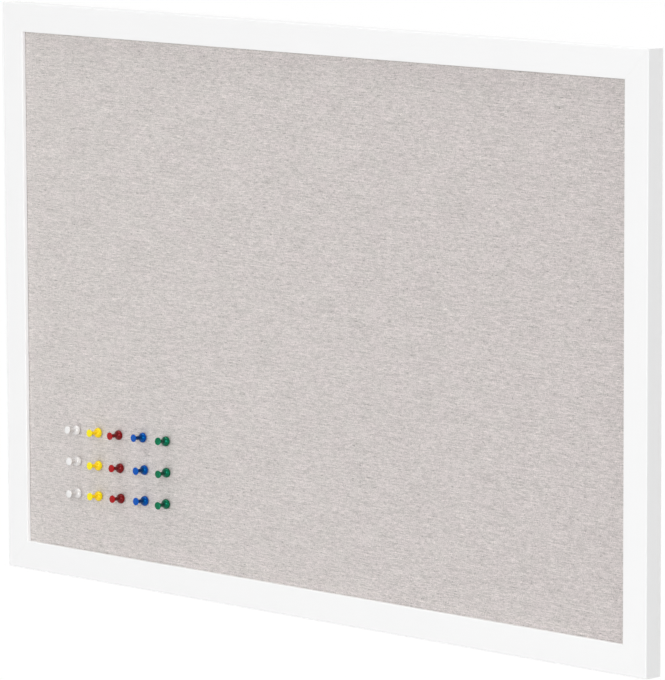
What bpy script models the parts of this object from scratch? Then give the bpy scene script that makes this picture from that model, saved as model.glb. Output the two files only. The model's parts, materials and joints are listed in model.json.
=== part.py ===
"""A framed cork pin board covered in linen, with fifteen push pins and two ring hangers.

Metres, +Z up. +X is to the right as seen from the front, and +Y points back at the wall.
The origin lies on the back of the top rail, half way along it and half way across its
solid strip, where the board meets the wall. The front of the frame faces -Y.
"""

import math

import bmesh
import bpy
from mathutils import Matrix, Vector

# Frame
board_width = 0.900
board_height = 0.600
rail_face = 0.030
rail_depth = 0.021
lip_thickness = 0.0047
lip_overlap = 0.006
front_edge_radius = 0.0010
back_edge_radius = 0.0006
mitre_gap = 0.0003

# Clearances
touch_gap = 0.0003
panel_slack = 0.0005
slot_clearance = 0.0003
cut_overrun = 0.001

# Panel
linen_thickness = 0.0007
linen_turnover = 0.020
backing_thickness = 0.0025

# Retaining tabs behind the backing board
tab_width = 0.006
tab_thickness = 0.0006
tab_in_wood = 0.006
tab_over_back = 0.009
tab_point = 0.002
tab_recess = 0.0015
long_side_tab_shares = (-0.33, 0.0, 0.33)
short_side_tab_shares = (0.0,)

# Corner nails across the mitres
nail_leg = 0.007
nail_thickness = 0.0006
nail_depth = 0.010
nail_recess = 0.0005

# Push pins
pin_head_height = 0.0143
pin_top_diameter = 0.0079
pin_top_rim = 0.0011
pin_top_round = 0.0003
pin_flare_height = 0.0034
pin_waist_diameter = 0.0040
pin_waist_fillet = 0.0006
pin_dome_height = 0.0044
pin_flange_diameter = 0.0105
pin_flange_height = 0.0012
pin_foot_diameter = 0.0094
needle_diameter = 0.0011
needle_length = 0.010
needle_point = 0.0024
needle_in_head = 0.006
needle_clearance = 0.00015
pin_hole_clearance = 0.0002
pin_hole_spare_depth = 0.0005

# Where the pins stand: three rows of five, set by hand and a little uneven
pin_field_left = 0.1037
pin_field_top = 0.1554
pin_column_pitch = 0.0337
pin_row_pitch = 0.0331
column_slant_share = 0.015
row_rise_share = 0.027
pin_colour_names = ("white", "yellow", "red", "blue", "green")
pin_row_names = ("upper", "middle", "lower")
# Each pin's shift from its place on the grid, in shares of the two pitches
pin_shift_shares = {
    "upper": ((0.03, 0.01), (0.0, 0.01), (-0.08, 0.01), (0.01, 0.02), (0.03, -0.02)),
    "middle": ((0.03, 0.02), (-0.01, -0.04), (-0.04, -0.04), (0.04, 0.0), (0.02, 0.0)),
    "lower": ((0.03, 0.0), (-0.03, -0.01), (-0.03, 0.0), (0.04, 0.02), (-0.02, 0.01)),
}
# Each pin's lean from square to the board, in degrees: to the right, then up
pin_leans = {
    "upper": ((-3, 7), (0, 4), (-1, 1), (-4, 3), (6, 7)),
    "middle": ((3, 6), (-1, 5), (1, 5), (0, 1), (3, -1)),
    "lower": ((-2, 3), (-1, 4), (1, 4), (-1, 4), (4, -1)),
}

# Ring hangers on the side rails
hanger_drop = 0.100
strap_width = 0.010
strap_thickness = 0.0010
strap_length = 0.030
strap_corner_radius = 0.0035
ring_wire = 0.0020
ring_height = 0.0165
ring_corner_radius = 0.0026
ring_side_clearance = 0.0015
eye_clearance = 0.0002
screw_drops = (0.009, 0.024)

# Hanger screws
screw_shank_diameter = 0.003
screw_length = 0.012
screw_point = 0.003
screw_head_diameter = 0.006
screw_head_height = 0.0017
screw_clearance = 0.0002

# Wall bumpers at the lower corners
bumper_diameter = 0.012
bumper_edge_radius = 0.002
bumper_inset = 0.060

# Facets
head_sides = 20
needle_sides = 8
hole_sides = 12
screw_sides = 14
bumper_sides = 20
flare_steps = 3
dome_steps = 4
corner_steps = 3
eye_steps = 20
bow_steps = 14
smooth_angle = math.radians(35)
weld_distance = 0.00001

# Sizes that follow
strip = rail_face - lip_overlap
board_top = strip / 2
board_centre = Vector((0, 0, board_top - board_height / 2))
panel_width = board_width - 2 * (strip + panel_slack)
panel_height = board_height - 2 * (strip + panel_slack)
linen_front = -rail_depth + lip_thickness + touch_gap
core_front = linen_front + linen_thickness + touch_gap
tab_back = -tab_recess
backing_back = tab_back - tab_thickness - touch_gap
backing_front = backing_back - backing_thickness
linen_back = backing_front - touch_gap
core_back = linen_back - linen_thickness - touch_gap
core_margin = linen_thickness + touch_gap
eye_radius = ring_wire / 2 + eye_clearance + strap_thickness
eye_back = touch_gap + eye_radius
screw_seat = touch_gap + strap_thickness + touch_gap
ring_half_width = strap_width / 2 + ring_side_clearance + ring_wire / 2
# The bumpers stand as far off the frame as the hangers, so the board hangs parallel
bumper_height = 2 * eye_radius

# Each side of the frame: its turn about the depth axis, and its outer edge's reach
sides = {
    "top": (0, board_height / 2, board_width),
    "right": (90, board_width / 2, board_height),
    "bottom": (180, board_height / 2, board_width),
    "left": (270, board_width / 2, board_height),
}

# Where the tabs stand along each side
tab_shares = {
    "top": long_side_tab_shares,
    "right": short_side_tab_shares,
    "bottom": long_side_tab_shares,
    "left": short_side_tab_shares,
}

# Base colour, roughness and metallic value of each finish
finishes = {
    "white_paint": ((0.90, 0.90, 0.90), 0.45, 0.0),
    "linen": ((0.60, 0.57, 0.55), 0.95, 0.0),
    "cork": ((0.46, 0.30, 0.17), 0.90, 0.0),
    "hardboard": ((0.27, 0.17, 0.10), 0.70, 0.0),
    "zinc": ((0.62, 0.63, 0.64), 0.35, 1.0),
    "needle_steel": ((0.70, 0.70, 0.71), 0.22, 1.0),
    "rubber": ((0.05, 0.05, 0.05), 0.85, 0.0),
    "white_plastic": ((0.86, 0.86, 0.85), 0.25, 0.0),
    "yellow_plastic": ((0.95, 0.72, 0.01), 0.25, 0.0),
    "red_plastic": ((0.42, 0.01, 0.02), 0.25, 0.0),
    "blue_plastic": ((0.00, 0.08, 0.46), 0.25, 0.0),
    "green_plastic": ((0.00, 0.21, 0.09), 0.25, 0.0),
}


# Scene helpers


def clear_scene():
    """Remove whatever the scene starts with."""
    for thing in list(bpy.data.objects):
        bpy.data.objects.remove(thing, do_unlink=True)


def new_collection(name):
    """A collection linked into the scene."""
    collection = bpy.data.collections.new(name)
    bpy.context.scene.collection.children.link(collection)
    return collection


def finish_material(name):
    """A plain Principled material from the finishes above."""
    colour, roughness, metallic = finishes[name]
    material = bpy.data.materials.new(name)
    material.use_nodes = True
    shader = material.node_tree.nodes["Principled BSDF"]
    shader.inputs["Base Color"].default_value = (*colour, 1.0)
    shader.inputs["Roughness"].default_value = roughness
    shader.inputs["Metallic"].default_value = metallic
    material.diffuse_color = (*colour, 1.0)
    return material


def add_part(name, mesh, finish, parent=None, matrix=None):
    """Place a mesh in the board's collection as one named part."""
    part = bpy.data.objects.new(name, mesh)
    board_parts.objects.link(part)
    if not mesh.materials:
        mesh.materials.append(None)
    part.material_slots[0].link = "OBJECT"
    part.material_slots[0].material = materials[finish]
    part.parent = parent
    if matrix is not None:
        part.matrix_world = matrix
    return part


def add_cutter(name, mesh, collection, parent=None, matrix=None):
    """Place a mesh as a cutter, drawn as wire and left out of renders."""
    tool = bpy.data.objects.new(name, mesh)
    collection.objects.link(tool)
    tool.hide_render = True
    tool.display_type = "WIRE"
    tool.parent = parent
    if matrix is not None:
        tool.matrix_world = matrix
    return tool


def cutter_group(name):
    """A collection of cutters that are used together."""
    group = bpy.data.collections.new(name)
    group.hide_render = True
    cutters.children.link(group)
    return group


def cut_with(part, group):
    """Cut a part with every cutter in a collection."""
    cut = part.modifiers.new(group.name, "BOOLEAN")
    cut.operation = "DIFFERENCE"
    cut.solver = "EXACT"
    cut.operand_type = "COLLECTION"
    cut.collection = group


def add_empty(name, matrix):
    """A pivot that carries the pieces of one moving body."""
    pivot = bpy.data.objects.new(name, None)
    board_parts.objects.link(pivot)
    pivot.matrix_world = matrix
    bpy.context.view_layer.update()
    return pivot


# Shape helpers


def arc(centre, radius, start, stop, steps):
    """Points along an arc, both ends included, with angles in degrees."""
    points = []
    for step in range(steps + 1):
        angle = math.radians(start + (stop - start) * step / steps)
        points.append(
            (centre[0] + radius * math.cos(angle), centre[1] + radius * math.sin(angle))
        )
    return points


def mesh_of(thing):
    """The evaluated mesh of an object, with its doubles welded, and the object removed."""
    bpy.context.view_layer.update()
    graph = bpy.context.evaluated_depsgraph_get()
    mesh = bpy.data.meshes.new_from_object(thing.evaluated_get(graph))
    mesh.name = thing.name
    mesh.materials.clear()
    bpy.data.objects.remove(thing, do_unlink=True)
    shape = bmesh.new()
    shape.from_mesh(mesh)
    bmesh.ops.remove_doubles(shape, verts=shape.verts, dist=weld_distance)
    shape.to_mesh(mesh)
    shape.free()
    return mesh


def curve_object(name, loops, dimensions):
    """A curve object with one closed straight-sided spline for each loop of points."""
    curve = bpy.data.curves.new(name, "CURVE")
    curve.dimensions = dimensions
    for loop in loops:
        spline = curve.splines.new("POLY")
        spline.points.add(len(loop) - 1)
        for point, place in zip(spline.points, loop, strict=True):
            point.co = (*place, 1.0) if len(place) == 3 else (*place, 0.0, 1.0)
        spline.use_cyclic_u = True
    thing = bpy.data.objects.new(name, curve)
    cutters.objects.link(thing)
    return thing


def extruded(name, loops, thickness):
    """A flat outline in local XY, with its holes, given a thickness along local Z."""
    thing = curve_object(name, loops, "2D")
    thing.data.fill_mode = "BOTH"
    thing.data.extrude = thickness / 2
    return mesh_of(thing)


def turned(name, profile, steps):
    """A closed turned shape about local Z. The profile runs down the outer side."""
    mesh = bpy.data.meshes.new(name)
    edges = [(i, i + 1) for i in range(len(profile) - 1)]
    mesh.from_pydata([(radius, 0, height) for radius, height in profile], edges, [])
    blank = bpy.data.objects.new(name, mesh)
    cutters.objects.link(blank)
    screw = blank.modifiers.new("Turn", "SCREW")
    screw.axis = "Z"
    screw.angle = math.tau
    screw.steps = steps
    screw.render_steps = steps
    screw.use_merge_vertices = True
    screw.merge_threshold = weld_distance
    solid = mesh_of(blank)
    solid.shade_smooth()
    solid.set_sharp_from_angle(angle=smooth_angle)
    return solid


def block(name, width, depth, height):
    """A plain box about the local origin."""
    mesh = bpy.data.meshes.new(name)
    shape = bmesh.new()
    bmesh.ops.create_cube(shape, size=1, matrix=Matrix.Diagonal((width, depth, height, 1)))
    shape.to_mesh(mesh)
    shape.free()
    return mesh


def rod(name, radius, low, high):
    """A plain cylinder about local Z between two heights."""
    return turned(name, ((0, high), (radius, high), (radius, low), (0, low)), hole_sides)


def side_matrix(side):
    """A frame at the middle of a rail's outer edge: X along the rail, Z outwards, Y back."""
    turn, reach, _ = sides[side]
    turned_about = Matrix.Rotation(math.radians(turn), 4, "Y")
    return Matrix.Translation(board_centre) @ turned_about @ Matrix.Translation((0, 0, reach))


# Frame


def rail_section():
    """The rail's section: across from its outer edge, then depth from its back."""
    front, inner = -rail_depth, rail_face
    soft, back = front_edge_radius, back_edge_radius
    points = arc((soft, front + soft), soft, 180, 270, corner_steps)
    points += arc((inner - soft, front + soft), soft, 270, 360, corner_steps)
    points += [(inner, front + lip_thickness), (strip, front + lip_thickness), (strip, 0)]
    return points + arc((back, -back), back, 90, 180, corner_steps)


def saw_mitres(mesh, length):
    """Cut both ends of a rail at 45 degrees, its outer edge being the long one."""
    shape = bmesh.new()
    shape.from_mesh(mesh)
    for end in (-1, 1):
        edge = Vector((0, 0, end * (length / 2 - mitre_gap / math.sqrt(2))))
        everything = shape.verts[:] + shape.edges[:] + shape.faces[:]
        bmesh.ops.bisect_plane(
            shape, geom=everything, plane_co=edge, plane_no=(1, 0, end), clear_outer=True
        )
        open_edges = [line for line in shape.edges if line.is_boundary]
        bmesh.ops.holes_fill(shape, edges=open_edges)
    bmesh.ops.recalc_face_normals(shape, faces=shape.faces)
    shape.to_mesh(mesh)
    shape.free()


def make_rail(side):
    """One mitred rail, rebated behind its front lip."""
    length = sides[side][2]
    mesh = extruded(f"{side}_rail", [rail_section()], length + 2 * cut_overrun)
    saw_mitres(mesh, length)
    mesh.shade_smooth()
    mesh.set_sharp_from_angle(angle=smooth_angle)
    matrix = side_matrix(side) @ Matrix.Rotation(math.radians(90), 4, "Y")
    rail = add_part(f"{side}_rail", mesh, "white_paint", matrix=matrix)
    cut_with(rail, frame_cuts)


def nail_outline(across, along, clearance):
    """The L of a corner nail, its legs running in along two rails, grown by a clearance."""
    half, leg = nail_thickness / 2 + clearance, nail_leg + clearance
    corners = ((-half, half), (leg, half), (leg, -half), (half, -half), (half, -leg), (-half, -leg))
    return [(across * x, along * y) for x, y in corners]


def make_corner_nail(name, across, along):
    """One nail across a mitre, driven in from the back, and the slot it sits in."""
    away = strip / 2
    x = -across * (board_width / 2 - away)
    z = board_centre.z + along * (board_height / 2 - away)
    y = -nail_recess - nail_depth / 2
    facing = Matrix.Rotation(math.radians(90), 4, "X")
    mesh = extruded(name, [nail_outline(across, along, 0)], nail_depth)
    add_part(name, mesh, "zinc", matrix=Matrix.Translation((x, y, z)) @ facing)
    slot_depth = nail_depth + nail_recess + slot_clearance + cut_overrun
    slot = extruded(f"{name}_slot", [nail_outline(across, along, slot_clearance)], slot_depth)
    y = cut_overrun - slot_depth / 2
    place = Matrix.Translation((x, y, z)) @ facing
    add_cutter(f"{name}_slot", slot, frame_cuts, matrix=place)


def tab_outline(clearance):
    """A tab seen from behind: its point in the wood is at +Y, its tail at -Y."""
    half, point = tab_width / 2 + clearance, tab_in_wood + clearance
    shoulder, tail = point - tab_point, -tab_over_back - clearance
    return [(-half, tail), (half, tail), (half, shoulder), (0, point), (-half, shoulder)]


def make_tab(name, side, share):
    """One tab driven into the rebate wall over the backing board, and its slot."""
    along = share * sides[side][2]
    face = Matrix.Rotation(math.radians(90), 4, "X")
    level = tab_back - tab_thickness / 2
    place = side_matrix(side) @ Matrix.Translation((along, level, -strip)) @ face
    add_part(name, extruded(name, [tab_outline(0)], tab_thickness), "zinc", matrix=place)
    slot = extruded(f"{name}_slot", [tab_outline(slot_clearance)], tab_thickness + 2 * slot_clearance)
    add_cutter(f"{name}_slot", slot, frame_cuts, matrix=place)


def make_frame():
    """The four rails with their corner nails and retaining tabs."""
    for side in sides:
        make_rail(side)
    for across, hand in ((1, "left"), (-1, "right")):
        for along, level in ((1, "top"), (-1, "bottom")):
            make_corner_nail(f"{level}_{hand}_corner_nail", across, along)
    for side, shares in tab_shares.items():
        for number, share in enumerate(shares, 1):
            make_tab(f"{side}_tab_{number}", side, share)


# Panel


def make_linen():
    """The cloth, drawn round the core's edges and turned over behind it."""
    mesh = bpy.data.meshes.new("linen_cover")
    depth = linen_back - linen_front
    centre = Matrix.Translation((0, linen_front + depth / 2, board_centre.z))
    shape = bmesh.new()
    size = Matrix.Diagonal((panel_width, depth, panel_height, 1))
    bmesh.ops.create_cube(shape, size=1, matrix=size)
    rear = max(shape.faces, key=lambda face: face.calc_center_median().y)
    bmesh.ops.inset_region(shape, faces=[rear], thickness=linen_turnover, use_even_offset=True)
    bmesh.ops.delete(shape, geom=[rear], context="FACES")
    shape.to_mesh(mesh)
    shape.free()
    linen = add_part("linen_cover", mesh, "linen", matrix=centre)
    cloth = linen.modifiers.new("Cloth", "SOLIDIFY")
    cloth.thickness = linen_thickness
    cloth.offset = -1
    cloth.use_even_offset = True
    cut_with(linen, pin_holes)


def make_boards():
    """The cork core that the pins go into, and the hardboard behind it."""
    depth = core_back - core_front
    mesh = block("cork_core", panel_width - 2 * core_margin, depth, panel_height - 2 * core_margin)
    place = Matrix.Translation((0, core_front + depth / 2, board_centre.z))
    cut_with(add_part("cork_core", mesh, "cork", matrix=place), pin_holes)
    mesh = block("backing_board", panel_width, backing_thickness, panel_height)
    place = Matrix.Translation((0, backing_front + backing_thickness / 2, board_centre.z))
    cut_with(add_part("backing_board", mesh, "hardboard", matrix=place), pin_holes)


# Push pins


def head_profile():
    """The head from its top down: disc, flare, waist, dome, flange, foot and needle bore."""
    top, disc, waist = pin_head_height, pin_top_diameter / 2, pin_waist_diameter / 2
    rim_foot = top - pin_top_rim
    points = [(0, top)]
    points += arc((disc - pin_top_round, top - pin_top_round), pin_top_round, 90, 0, 1)
    for step in range(flare_steps + 1):
        share = step / flare_steps
        radius = waist + (disc - waist) * (1 - share) ** 2
        points.append((radius, rim_foot - pin_flare_height * share))
    flange, foot = pin_flange_diameter / 2, pin_foot_diameter / 2
    dome_top = pin_flange_height + pin_dome_height
    points.append((waist, dome_top + pin_waist_fillet))
    last = math.acos((waist + pin_waist_fillet) / flange)
    for step in range(dome_steps + 1):
        angle = last * (1 - step / dome_steps)
        height = pin_flange_height + pin_dome_height * math.sin(angle)
        points.append((flange * math.cos(angle), height))
    bore = needle_diameter / 2 + needle_clearance
    bore_end = needle_in_head + needle_clearance
    return points + [(foot, 0), (bore, 0), (bore, bore_end), (0, bore_end)]


def needle_profile():
    """The steel needle, from its end inside the head down to its point."""
    radius = needle_diameter / 2
    shoulder = needle_point - needle_length
    return [(0, needle_in_head), (radius, needle_in_head), (radius, shoulder), (0, -needle_length)]


def pin_matrix(row, column):
    """Where a pin stands and how it leans. Its local Z points out of the board."""
    level = pin_row_names.index(row)
    across_share, up_share = pin_shift_shares[row][column]
    x = pin_field_left - board_width / 2
    x += pin_column_pitch * (column + across_share + column_slant_share * level)
    z = board_centre.z - board_height / 2 + pin_field_top
    z += pin_row_pitch * (up_share - level) + pin_column_pitch * row_rise_share * column
    right, up = (math.tan(math.radians(lean)) for lean in pin_leans[row][column])
    outwards = Vector((right, -1, up)).normalized()
    # A leaning head rests on the edge of its foot
    lean = math.acos(-outwards.y)
    lift = touch_gap / math.cos(lean) + pin_foot_diameter / 2 * math.tan(lean)
    place = Vector((x, linen_front, z)) + lift * outwards
    return Matrix.Translation(place) @ outwards.to_track_quat("Z", "Y").to_matrix().to_4x4()


def make_pins():
    """Fifteen pins: a moulded head and a steel needle on one pivot, and the hole for each."""
    head = turned("pin_head", head_profile(), head_sides)
    needle = turned("pin_needle", needle_profile(), needle_sides)
    hole_radius = needle_diameter / 2 + pin_hole_clearance
    hole_end = -needle_length - pin_hole_spare_depth
    hole = rod("pin_hole", hole_radius, hole_end, pin_foot_diameter / 2)
    for row in pin_row_names:
        for column, colour in enumerate(pin_colour_names):
            name = f"{row}_{colour}_pin"
            place = pin_matrix(row, column)
            pivot = add_empty(name, place)
            add_part(f"{name}_head", head, f"{colour}_plastic", pivot, place)
            add_part(f"{name}_needle", needle, "needle_steel", pivot, place)
            add_cutter(f"{name}_hole", hole, pin_holes, pivot, place)


# Hangers


def strap_mesh(name):
    """A steel strap rolled at its top round an eye, its tail rounded, drilled for screws."""
    closing = math.degrees(math.acos(1 - strap_thickness / eye_radius))
    back = -eye_radius
    outline = [(back, -strap_length), (back, 0)]
    outline += arc((0, 0), eye_radius, 180, -180 + closing, eye_steps)[1:]
    outline.append((back + strap_thickness, -strap_length))
    hole = arc((0, 0), ring_wire / 2 + eye_clearance, 0, 360, eye_steps)[:-1]
    mesh = extruded(name, [outline, hole], strap_width)
    shape = bmesh.new()
    shape.from_mesh(mesh)
    tail = strap_corner_radius - strap_length
    corners = []
    for line in shape.edges:
        first, second = (end.co for end in line.verts)
        if max(first.y, second.y) < tail and abs(first.z - second.z) < weld_distance:
            corners.append(line)
    bmesh.ops.bevel(
        shape,
        geom=corners,
        offset=strap_corner_radius,
        segments=corner_steps,
        profile=0.5,
        affect="EDGES",
    )
    shape.to_mesh(mesh)
    shape.free()
    return mesh


def ring_path():
    """The D of the ring in local XZ: its bar at the eye, its bow above."""
    half, soft = ring_half_width, ring_corner_radius
    path = arc((-half + soft, soft), soft, 180, 270, corner_steps)
    path += arc((half - soft, soft), soft, 270, 360, corner_steps)
    path += arc((0, ring_height - half), half, 0, 180, bow_steps)
    return [(x, 0, z) for x, z in path]


def screw_profile():
    """A pan-headed screw from the top of its head down to its point, its seat at zero."""
    head, shank = screw_head_diameter / 2, screw_shank_diameter / 2
    shoulder = screw_point - screw_length
    crown = arc((head - screw_head_height, 0), screw_head_height, 75, 15, corner_steps)
    return [(0, screw_head_height), *crown, (head, 0), (shank, 0), (shank, shoulder), (0, -screw_length)]


def make_ring(name, place):
    """The D ring on its own pivot in the strap's eye, pointing up."""
    thing = curve_object(name, [ring_path()], "3D")
    thing.data.bevel_depth = ring_wire / 2
    thing.data.bevel_resolution = 2
    mesh = mesh_of(thing)
    mesh.shade_smooth()
    add_part(name, mesh, "zinc", add_empty(f"{name}_pivot", place), place)


def make_hanger(hand, across):
    """A strap, its ring and its two screws on the back of one side rail."""
    x = across * (board_width / 2 - strip / 2)
    eye = Matrix.Translation((x, eye_back, board_top - hanger_drop))
    strap_cuts = cutter_group(f"{hand}_strap_cuts")
    # The strap's outline lies in its own XY, which this stands up across the rail
    stand = Matrix(((0, 0, 1), (1, 0, 0), (0, 1, 0))).to_4x4()
    name = f"{hand}_hanger_strap"
    strap = add_part(name, strap_mesh(name), "zinc", matrix=eye @ stand)
    shank = screw_shank_diameter / 2 + screw_clearance
    drill = rod(f"{hand}_screw_drill", shank, -screw_length - screw_clearance, cut_overrun)
    facing_back = Matrix.Rotation(math.radians(-90), 4, "X")
    for number, drop in enumerate(screw_drops, 1):
        name = f"{hand}_hanger_screw_{number}"
        place = Matrix.Translation((x, screw_seat, board_top - hanger_drop - drop)) @ facing_back
        add_part(name, screw_mesh, "zinc", matrix=place)
        add_cutter(f"{name}_hole", drill, strap_cuts, matrix=place)
        add_cutter(f"{name}_pilot", drill, frame_cuts, matrix=place)
    cut_with(strap, strap_cuts)
    make_ring(f"{hand}_hanger_ring", eye)


def make_bumper(hand, across):
    """A rubber foot that keeps the lower corner off the wall."""
    radius, soft = bumper_diameter / 2, bumper_edge_radius
    profile = [(0, bumper_height)]
    profile += arc((radius - soft, bumper_height - soft), soft, 90, 0, corner_steps)
    profile += [(radius, 0), (0, 0)]
    x = across * (board_width / 2 - bumper_inset)
    z = board_centre.z - board_height / 2 + strip / 2
    facing_back = Matrix.Rotation(math.radians(-90), 4, "X")
    place = Matrix.Translation((x, touch_gap, z)) @ facing_back
    name = f"{hand}_wall_bumper"
    add_part(name, turned(name, profile, bumper_sides), "rubber", matrix=place)


clear_scene()
board_parts = new_collection("cork_pin_board")
cutters = new_collection("cutters")
cutters.hide_render = True
frame_cuts = cutter_group("frame_cuts")
pin_holes = cutter_group("pin_holes")
materials = {name: finish_material(name) for name in finishes}
screw_mesh = turned("hanger_screw", screw_profile(), screw_sides)

make_frame()
make_pins()
make_linen()
make_boards()
for hand, across in (("left", -1), ("right", 1)):
    make_hanger(hand, across)
    make_bumper(hand, across)
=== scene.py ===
"""The finished look of a framed linen pin board, built round its packed construction.

Metres, +Z up. +X is to the right as seen from the front, and +Y points back at the wall.
"""

import json
import math

import bmesh
import bpy
from mathutils import Matrix, Vector, noise


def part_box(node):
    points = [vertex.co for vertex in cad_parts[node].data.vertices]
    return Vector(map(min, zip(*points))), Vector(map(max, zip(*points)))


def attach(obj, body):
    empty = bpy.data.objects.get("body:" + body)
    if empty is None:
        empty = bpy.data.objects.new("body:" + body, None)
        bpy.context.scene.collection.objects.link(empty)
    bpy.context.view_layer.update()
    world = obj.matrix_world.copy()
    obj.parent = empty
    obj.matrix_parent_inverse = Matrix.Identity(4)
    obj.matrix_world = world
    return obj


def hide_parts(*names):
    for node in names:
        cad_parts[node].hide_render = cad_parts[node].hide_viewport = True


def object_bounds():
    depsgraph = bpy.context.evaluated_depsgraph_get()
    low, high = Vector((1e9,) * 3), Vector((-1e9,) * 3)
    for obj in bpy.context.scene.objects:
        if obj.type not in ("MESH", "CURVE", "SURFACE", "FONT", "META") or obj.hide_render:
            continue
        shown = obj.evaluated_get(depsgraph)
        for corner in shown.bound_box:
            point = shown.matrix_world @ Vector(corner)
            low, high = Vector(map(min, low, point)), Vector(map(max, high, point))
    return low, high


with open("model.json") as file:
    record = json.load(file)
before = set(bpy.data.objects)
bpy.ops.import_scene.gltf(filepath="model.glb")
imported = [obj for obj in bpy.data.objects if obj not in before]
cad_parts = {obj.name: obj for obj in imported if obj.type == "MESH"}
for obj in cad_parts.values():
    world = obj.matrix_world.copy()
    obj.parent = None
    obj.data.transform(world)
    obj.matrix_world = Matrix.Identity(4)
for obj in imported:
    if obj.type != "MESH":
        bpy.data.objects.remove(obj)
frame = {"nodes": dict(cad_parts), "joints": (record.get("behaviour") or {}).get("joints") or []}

bl_info = {
    "name": "Linen Pin Board",
    "version": (1, 0, 0),
    "blender": (4, 5, 0),
    "location": "View3D > Sidebar > Pin Board",
    "description": "Dresses a framed pin board in linen, paint, moulded pins and plated steel",
    "category": "Object",
}

construction_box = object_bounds()
board_middle = sum(construction_box, Vector()) / 2
colour_names = ("white", "yellow", "red", "blue", "green")
row_names = ("upper", "middle", "lower")
hands = ("left", "right")
merge_distance = 0.000001
edge_tolerance = 0.00001
flat_angle = math.radians(1)
crisp_angle = math.radians(35)
round_angle = math.radians(60)
quarter_turn = math.radians(90)
facing_back = Matrix.Rotation(-quarter_turn, 4, "X")


# Settings


def metres(name, description, default):
    """A length in metres."""
    return bpy.props.FloatProperty(
        name=name, description=description, unit="LENGTH", default=default
    )


def degrees(name, description, default):
    """An angle, with its default in degrees."""
    return bpy.props.FloatProperty(
        name=name, description=description, subtype="ANGLE", default=math.radians(default)
    )


def fraction(name, description, default):
    """A share from nought to one."""
    return bpy.props.FloatProperty(
        name=name, description=description, subtype="FACTOR", min=0, max=1, default=default
    )


def tint(name, description, default):
    """A colour without transparency."""
    return bpy.props.FloatVectorProperty(
        name=name, description=description, subtype="COLOR", size=3, min=0, max=1, default=default
    )


class FramePaintSettings(bpy.types.PropertyGroup):
    """The satin paint on the four rails."""

    colour: tint("Colour", "Colour of the paint", (0.905, 0.905, 0.906))
    sheen_roughness: fraction("Roughness", "How far the satin paint spreads a reflection", 0.42)
    grain_length: metres(
        "Grain Length", "Length of the wood's grain that shows through the paint", 0.060
    )
    grain_width: metres(
        "Grain Width", "Width of the wood's grain that shows through the paint", 0.0014
    )
    stipple_size: metres("Stipple Size", "Size of the roller's stipple in the paint", 0.0011)
    mitre_fill: metres(
        "Mitre Fill", "How far paint fills each side of a mitre, along the rail", 0.00016
    )
    lip_arris: metres("Lip Arris", "Width sanded off the lip's edge next to the cloth", 0.0005)


class LinenSettings(bpy.types.PropertyGroup):
    """The cloth that covers the board."""

    warm_colour: tint("Warm Colour", "Colour of the warmer yarn", (0.673, 0.620, 0.609))
    cool_colour: tint("Cool Colour", "Colour of the cooler yarn", (0.659, 0.620, 0.600))
    # Over this width the cloth's tone drifts, and a painted shade of the light's falloff darkens it
    tone_and_shade_drift_width: metres("Drift Width", "Width of cloth over which its tone drifts", 0.800)
    thread_pitch: metres("Thread Pitch", "Distance from one thread to the next", 0.0010)
    weft_run: metres("Weft Run", "Length over which a cross thread keeps its tone", 0.0075)
    warp_run: metres("Warp Run", "Length over which an upright thread keeps its tone", 0.0035)
    thickness: metres("Thickness", "Thickness of the cloth", 0.0007)
    edge_radius: metres(
        "Edge Radius", "Radius of the cloth where it turns round the core's edges", 0.0012
    )
    turnover: metres("Turnover", "Width of cloth folded over behind the core", 0.020)
    slackness: metres("Slackness", "Greatest rise and fall of the stretched cloth", 0.00012)
    press_depth: metres("Press Depth", "How far a pin has pressed the cloth in", 0.00018)
    press_radius: metres("Press Radius", "How far round a needle the cloth is pressed in", 0.0040)
    hole_clearance: metres(
        "Hole Clearance", "Gap between a needle and the threads that it parts", 0.0002
    )


class PushPinSettings(bpy.types.PropertyGroup):
    """The moulded push pins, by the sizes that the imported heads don't give."""

    disc_diameter: metres("Disc Diameter", "Diameter of the disc that the thumb pushes on", 0.0079)
    disc_rim: metres("Disc Rim", "Thickness of the disc at its rim", 0.0011)
    flare_height: metres("Flare Height", "Height over which the waist widens into the disc", 0.0034)
    waist_diameter: metres("Waist Diameter", "Diameter at the waist", 0.0040)
    waist_fillet: metres("Waist Fillet", "Radius between the waist and the dome", 0.0006)
    dome_height: metres("Dome Height", "Height of the dome over its flange", 0.0044)
    flange_height: metres("Flange Height", "Height of the widest part over the foot", 0.0012)
    foot_diameter: metres("Foot Diameter", "Diameter of the foot that stands on the cloth", 0.0094)
    edge_round: metres("Edge Round", "Radius that the mould leaves on the outer edges", 0.0003)
    needle_diameter: metres("Needle Diameter", "Diameter of the steel needle", 0.0011)
    needle_point: metres("Needle Point", "Length of the needle's ground point", 0.0024)
    needle_in_head: metres("Needle in Head", "Length of needle that the head is moulded on to", 0.006)
    gloss_roughness: fraction("Roughness", "How far the moulded plastic spreads a reflection", 0.13)


class HangerSettings(bpy.types.PropertyGroup):
    """The steel ring hangers and the fixings on the back."""

    strap_thickness: metres("Strap Thickness", "Thickness of the rolled steel strap", 0.0010)
    strap_corner: metres("Strap Corner", "Radius of the corners at the strap's tail", 0.0035)
    ring_wire: metres("Ring Wire", "Diameter of the ring's wire", 0.0020)
    ring_corner: metres("Ring Corner", "Radius of the ring's corners beside its bar", 0.0026)
    screw_head_height: metres("Screw Head Height", "Height of a screw's pan head", 0.0017)
    screw_pitch: metres("Screw Pitch", "Distance from one turn of the thread to the next", 0.0012)
    screw_core: metres("Screw Core", "Diameter of the screw under its thread", 0.0021)
    screw_thread: metres("Screw Thread", "Diameter over the screw's thread", 0.0030)
    bumper_round: metres("Bumper Round", "Radius of a rubber foot's edge", 0.002)
    burr: metres("Edge Break", "Bevel on the stamped steel edges", 0.00012)


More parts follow.
